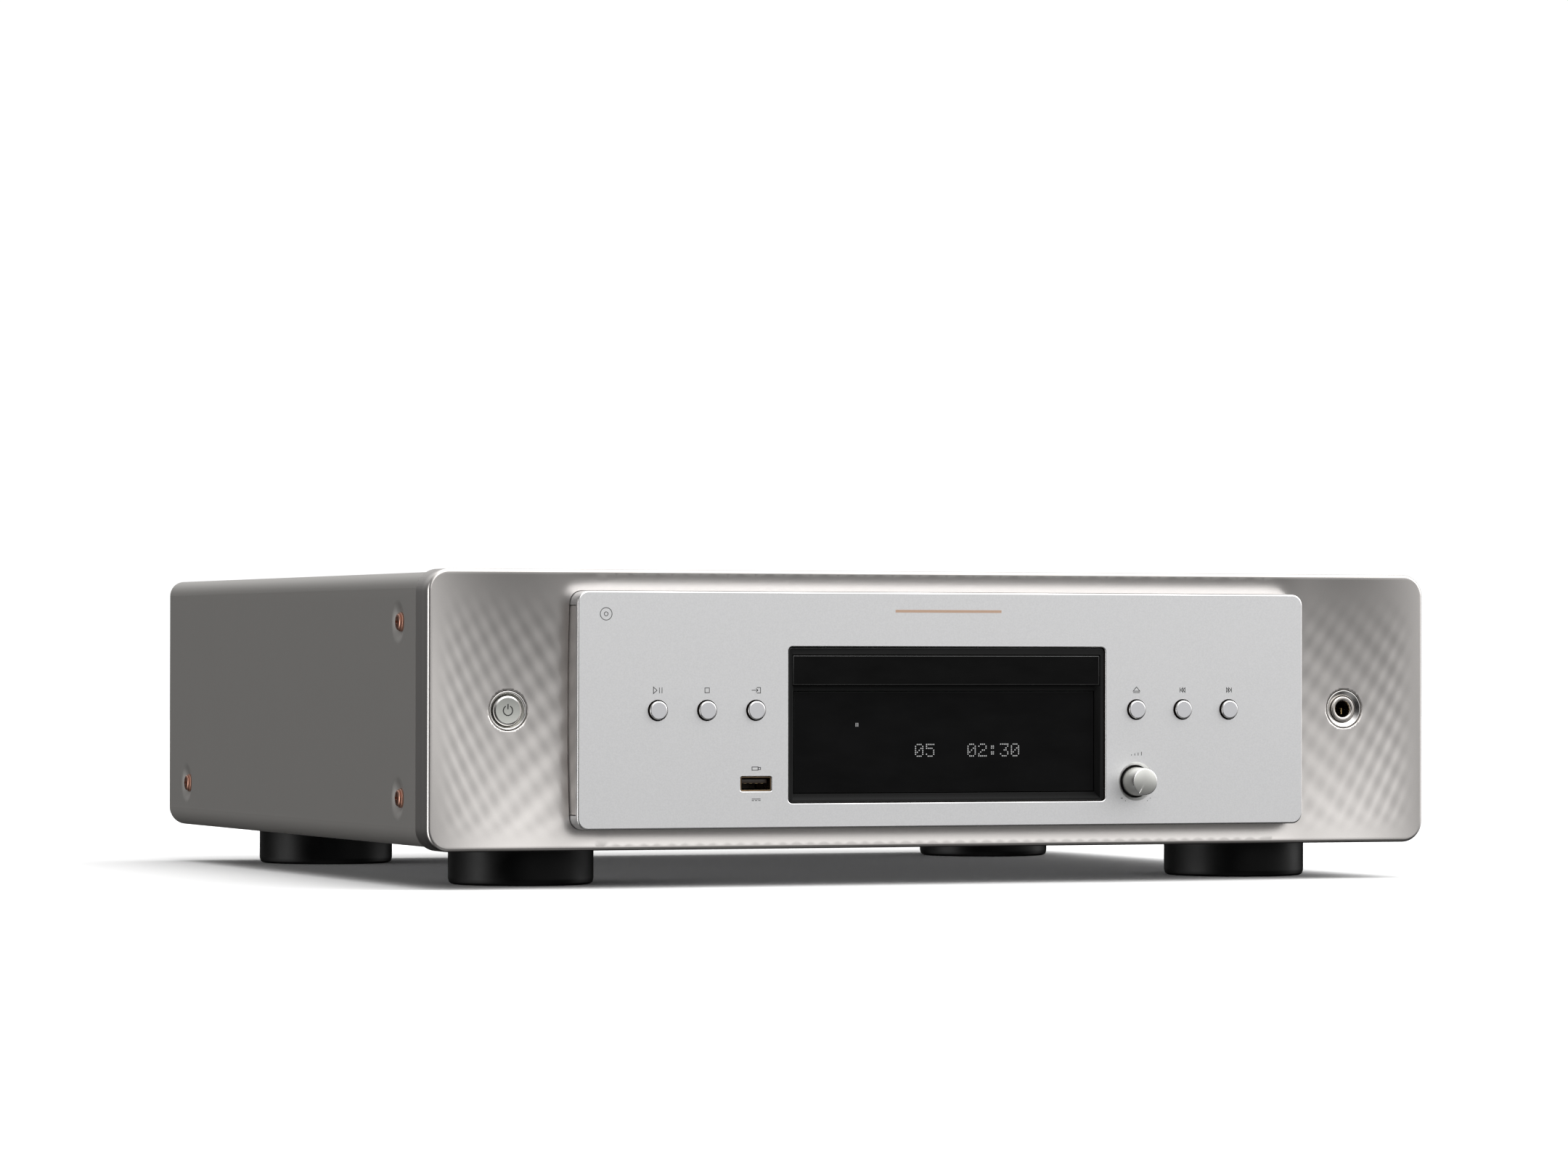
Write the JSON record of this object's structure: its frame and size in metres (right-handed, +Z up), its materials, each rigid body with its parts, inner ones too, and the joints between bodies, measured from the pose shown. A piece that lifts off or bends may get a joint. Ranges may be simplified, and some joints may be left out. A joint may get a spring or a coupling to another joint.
{
  "type": "cd player",
  "caption": "Full-width hi-fi CD player: dished front frame with raised centre plate, sliding disc tray, dark display, push buttons, level knob, sockets, folded cover and round feet.",
  "frame": {"origin": "on the floor under the middle of the whole player, knob and rear sockets included", "axes": "+X to the right as seen from the front, +Y towards the rear panel, +Z up"},
  "size_m": [0.442, 0.41, 0.128],
  "materials": {
    "satin_silver": "satin, fine bead-blasted grain",
    "plate_silver": "matt, fine bead-blasted grain",
    "cover_paint": "satin metallic paint",
    "copper_plate": "bright copper plating",
    "black_plastic": "satin",
    "gloss_black": "polished",
    "light_guide": "satin",
    "steel": "plain",
    "circuit_board": "solder mask",
    "gear_plastic": "natural acetal",
    "belt_rubber": "matt",
    "foot_plastic": "satin",
    "gold_plate": "gold plated",
    "transformer_wrap": "tape over copper winding"
  },
  "bodies": {
    "chassis": {"fascia": "satin_silver", "power_bezel": "satin_silver", "headphone_ring": "satin_silver", "centre_plate": "plate_silver", "top_cover": "cover_paint", "rear_panel": "cover_paint", "side_screw_left_1": "copper_plate", "side_screw_left_2": "copper_plate", "side_screw_left_3": "copper_plate", "side_screw_right_1": "copper_plate", "side_screw_right_2": "copper_plate", "side_screw_right_3": "copper_plate", "window_trim": "black_plastic", "display_module": "black_plastic", "usb_tongue": "black_plastic", "power_switch": "black_plastic", "loader_frame": "black_plastic", "ac_inlet": "black_plastic", "remote_jacks": "black_plastic", "digital_outputs": "black_plastic", "display_window": "gloss_black", "light_guide_left": "light_guide", "light_guide_right": "light_guide", "chassis_pan": "steel", "volume_pot": "steel", "headphone_jack": "steel", "loading_motor": "steel", "traverse_plate": "steel", "guide_rod_left": "steel", "guide_rod_right": "steel", "spindle_motor": "steel", "sled_motor": "steel", "clamp_bridge": "steel", "front_board": "circuit_board", "main_board": "circuit_board", "power_board": "circuit_board", "drive_belt": "belt_rubber", "foot_front_left": "foot_plastic", "foot_front_right": "foot_plastic", "foot_rear_left": "foot_plastic", "foot_rear_right": "foot_plastic", "usb_shell": "gold_plate", "analogue_outputs": "gold_plate", "transformer": "transformer_wrap"},
    "tray": {"disc_tray": "black_plastic", "tray_door": "gloss_black"},
    "gear": {"drive_gear": "gear_plastic"},
    "pulley": {"motor_pulley": "gear_plastic"},
    "spindle": {"turntable": "black_plastic"},
    "clamp": {"clamp_puck": "black_plastic"},
    "sled": {"laser_sled": "black_plastic"},
    "sled_screw": {"lead_screw": "steel"},
    "knob": {"volume_knob": "plate_silver"},
    "power": {"power_button": "plate_silver"},
    "button_input": {"button_input": "plate_silver"},
    "button_stop": {"button_stop": "plate_silver"},
    "button_play_pause": {"button_play_pause": "plate_silver"},
    "button_eject": {"button_eject": "plate_silver"},
    "button_previous": {"button_previous": "plate_silver"},
    "button_next": {"button_next": "plate_silver"}
  },
  "joints": [
    {"name": "tray_slide", "type": "slide", "parent": "chassis", "child": "tray", "axis": [0, -1, 0], "range_m": [0, 0.138]},
    {"name": "gear_spin", "type": "hinge", "parent": "chassis", "child": "gear", "pos_m": [-0.04, -0.151, 0.0655], "axis": [0, 0, 1], "range_deg": [-5, 800]},
    {"name": "pulley_spin", "type": "hinge", "parent": "chassis", "child": "pulley", "pos_m": [-0.058, -0.1225, 0.0655], "axis": [0, 0, 1], "range_deg": [-10, 2800]},
    {"name": "disc_spin", "type": "hinge", "parent": "chassis", "child": "spindle", "pos_m": [0, -0.1205, 0.085], "axis": [0, 0, 1], "continuous": true},
    {"name": "clamp_spin", "type": "hinge", "parent": "chassis", "child": "clamp", "pos_m": [0, -0.1205, 0.098], "axis": [0, 0, 1], "continuous": true},
    {"name": "sled_slide", "type": "slide", "parent": "chassis", "child": "sled", "axis": [0, 1, 0], "range_m": [0, 0.034]},
    {"name": "screw_spin", "type": "hinge", "parent": "chassis", "child": "sled_screw", "pos_m": [0.027, -0.0885, 0.0745], "axis": [0, 1, 0], "range_deg": [-10, 4200]},
    {"name": "knob_turn", "type": "hinge", "parent": "chassis", "child": "knob", "pos_m": [0.0844, -0.1985, 0.0417], "axis": [0, 1, 0], "range_deg": [0, 300]},
    {"name": "power_press", "type": "slide", "parent": "chassis", "child": "power", "axis": [0, 1, 0], "range_m": [0, 0.0015], "stiffness_N_per_m": 1200},
    {"name": "input_press", "type": "slide", "parent": "chassis", "child": "button_input", "axis": [0, 1, 0], "range_m": [0, 0.0008], "stiffness_N_per_m": 1500},
    {"name": "stop_press", "type": "slide", "parent": "chassis", "child": "button_stop", "axis": [0, 1, 0], "range_m": [0, 0.0008], "stiffness_N_per_m": 1500},
    {"name": "play_pause_press", "type": "slide", "parent": "chassis", "child": "button_play_pause", "axis": [0, 1, 0], "range_m": [0, 0.0008], "stiffness_N_per_m": 1500},
    {"name": "eject_press", "type": "slide", "parent": "chassis", "child": "button_eject", "axis": [0, 1, 0], "range_m": [0, 0.0008], "stiffness_N_per_m": 1500},
    {"name": "previous_press", "type": "slide", "parent": "chassis", "child": "button_previous", "axis": [0, 1, 0], "range_m": [0, 0.0008], "stiffness_N_per_m": 1500},
    {"name": "next_press", "type": "slide", "parent": "chassis", "child": "button_next", "axis": [0, 1, 0], "range_m": [0, 0.0008], "stiffness_N_per_m": 1500}
  ],
  "couplings": [
    {"joint": "gear_spin", "follows": "tray_slide", "rad_per_m": 100},
    {"joint": "pulley_spin", "follows": "tray_slide", "rad_per_m": 350},
    {"joint": "clamp_spin", "follows": "disc_spin", "ratio": 1},
    {"joint": "screw_spin", "follows": "sled_slide", "rad_per_m": 2094.4}
  ]
}
